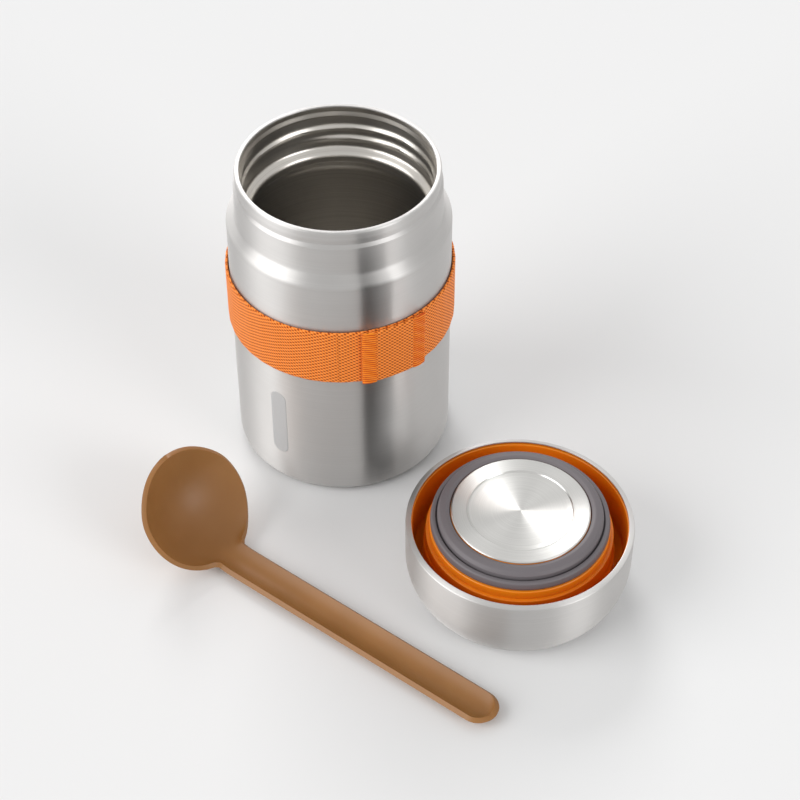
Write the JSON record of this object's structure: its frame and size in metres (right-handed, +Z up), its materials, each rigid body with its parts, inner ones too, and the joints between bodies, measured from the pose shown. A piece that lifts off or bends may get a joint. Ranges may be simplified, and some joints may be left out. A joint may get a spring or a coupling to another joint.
{
  "type": "insulated food jar",
  "caption": "Insulated steel food jar, open, with its screw lid upside down beside it, an elastic spoon strap and a spoon.",
  "frame": {"origin": "middle of the jar's foot, at the level of the table it stands on", "axes": "+Z up along the jar's axis; the lid lies towards +X and -Y, and the spoon towards -Y"},
  "size_m": [0.1813, 0.1993, 0.129],
  "materials": {
    "steel_brushed": "satin",
    "steel_inside": "satin",
    "steel_polished": "polished",
    "copper_foil": "bright",
    "solder": "dull",
    "getter_metal": "matte",
    "webbing": "woven",
    "stitching": "stitched",
    "lid_plastic": "satin",
    "foam": "matte",
    "silicone": "matte",
    "spoon_plastic": "matte"
  },
  "bodies": {
    "jar": {"outer_shell": "steel_brushed", "inner_vessel": "steel_inside", "inner_bottom": "steel_inside", "heat_foil": "copper_foil", "outer_bottom": "steel_brushed", "vacuum_seal": "solder", "base_cover": "steel_brushed", "getter_clip": "getter_metal", "getter_pill": "getter_metal"},
    "strap": {"strap_band": "webbing", "strap_loop": "webbing", "bar_tack_left": "stitching", "bar_tack_right": "stitching"},
    "lid": {"lid_shell": "steel_brushed", "lid_liner": "lid_plastic", "plug_carrier": "lid_plastic", "plug_disc": "steel_polished", "plug_foam": "foam", "lid_pad": "foam"},
    "seal": {"seal_ring": "silicone"},
    "spoon": {"spoon": "spoon_plastic"}
  },
  "joints": [
    {"name": "strap_slide", "type": "slide", "parent": "jar", "child": "strap", "axis": [0, 0, 1], "range_m": [-0.05, 0.075]},
    {"name": "lid_lift", "type": "slide", "parent": "jar", "child": "lid", "axis": [0, 0, 1], "range_m": [0, 0.15]},
    {"name": "seal_pull", "type": "slide", "parent": "lid", "child": "seal", "axis": [0, 0, 1], "range_m": [0, 0.025]},
    {"name": "spoon_lift", "type": "slide", "parent": "jar", "child": "spoon", "axis": [0, 0, 1], "range_m": [0, 0.15]}
  ]
}
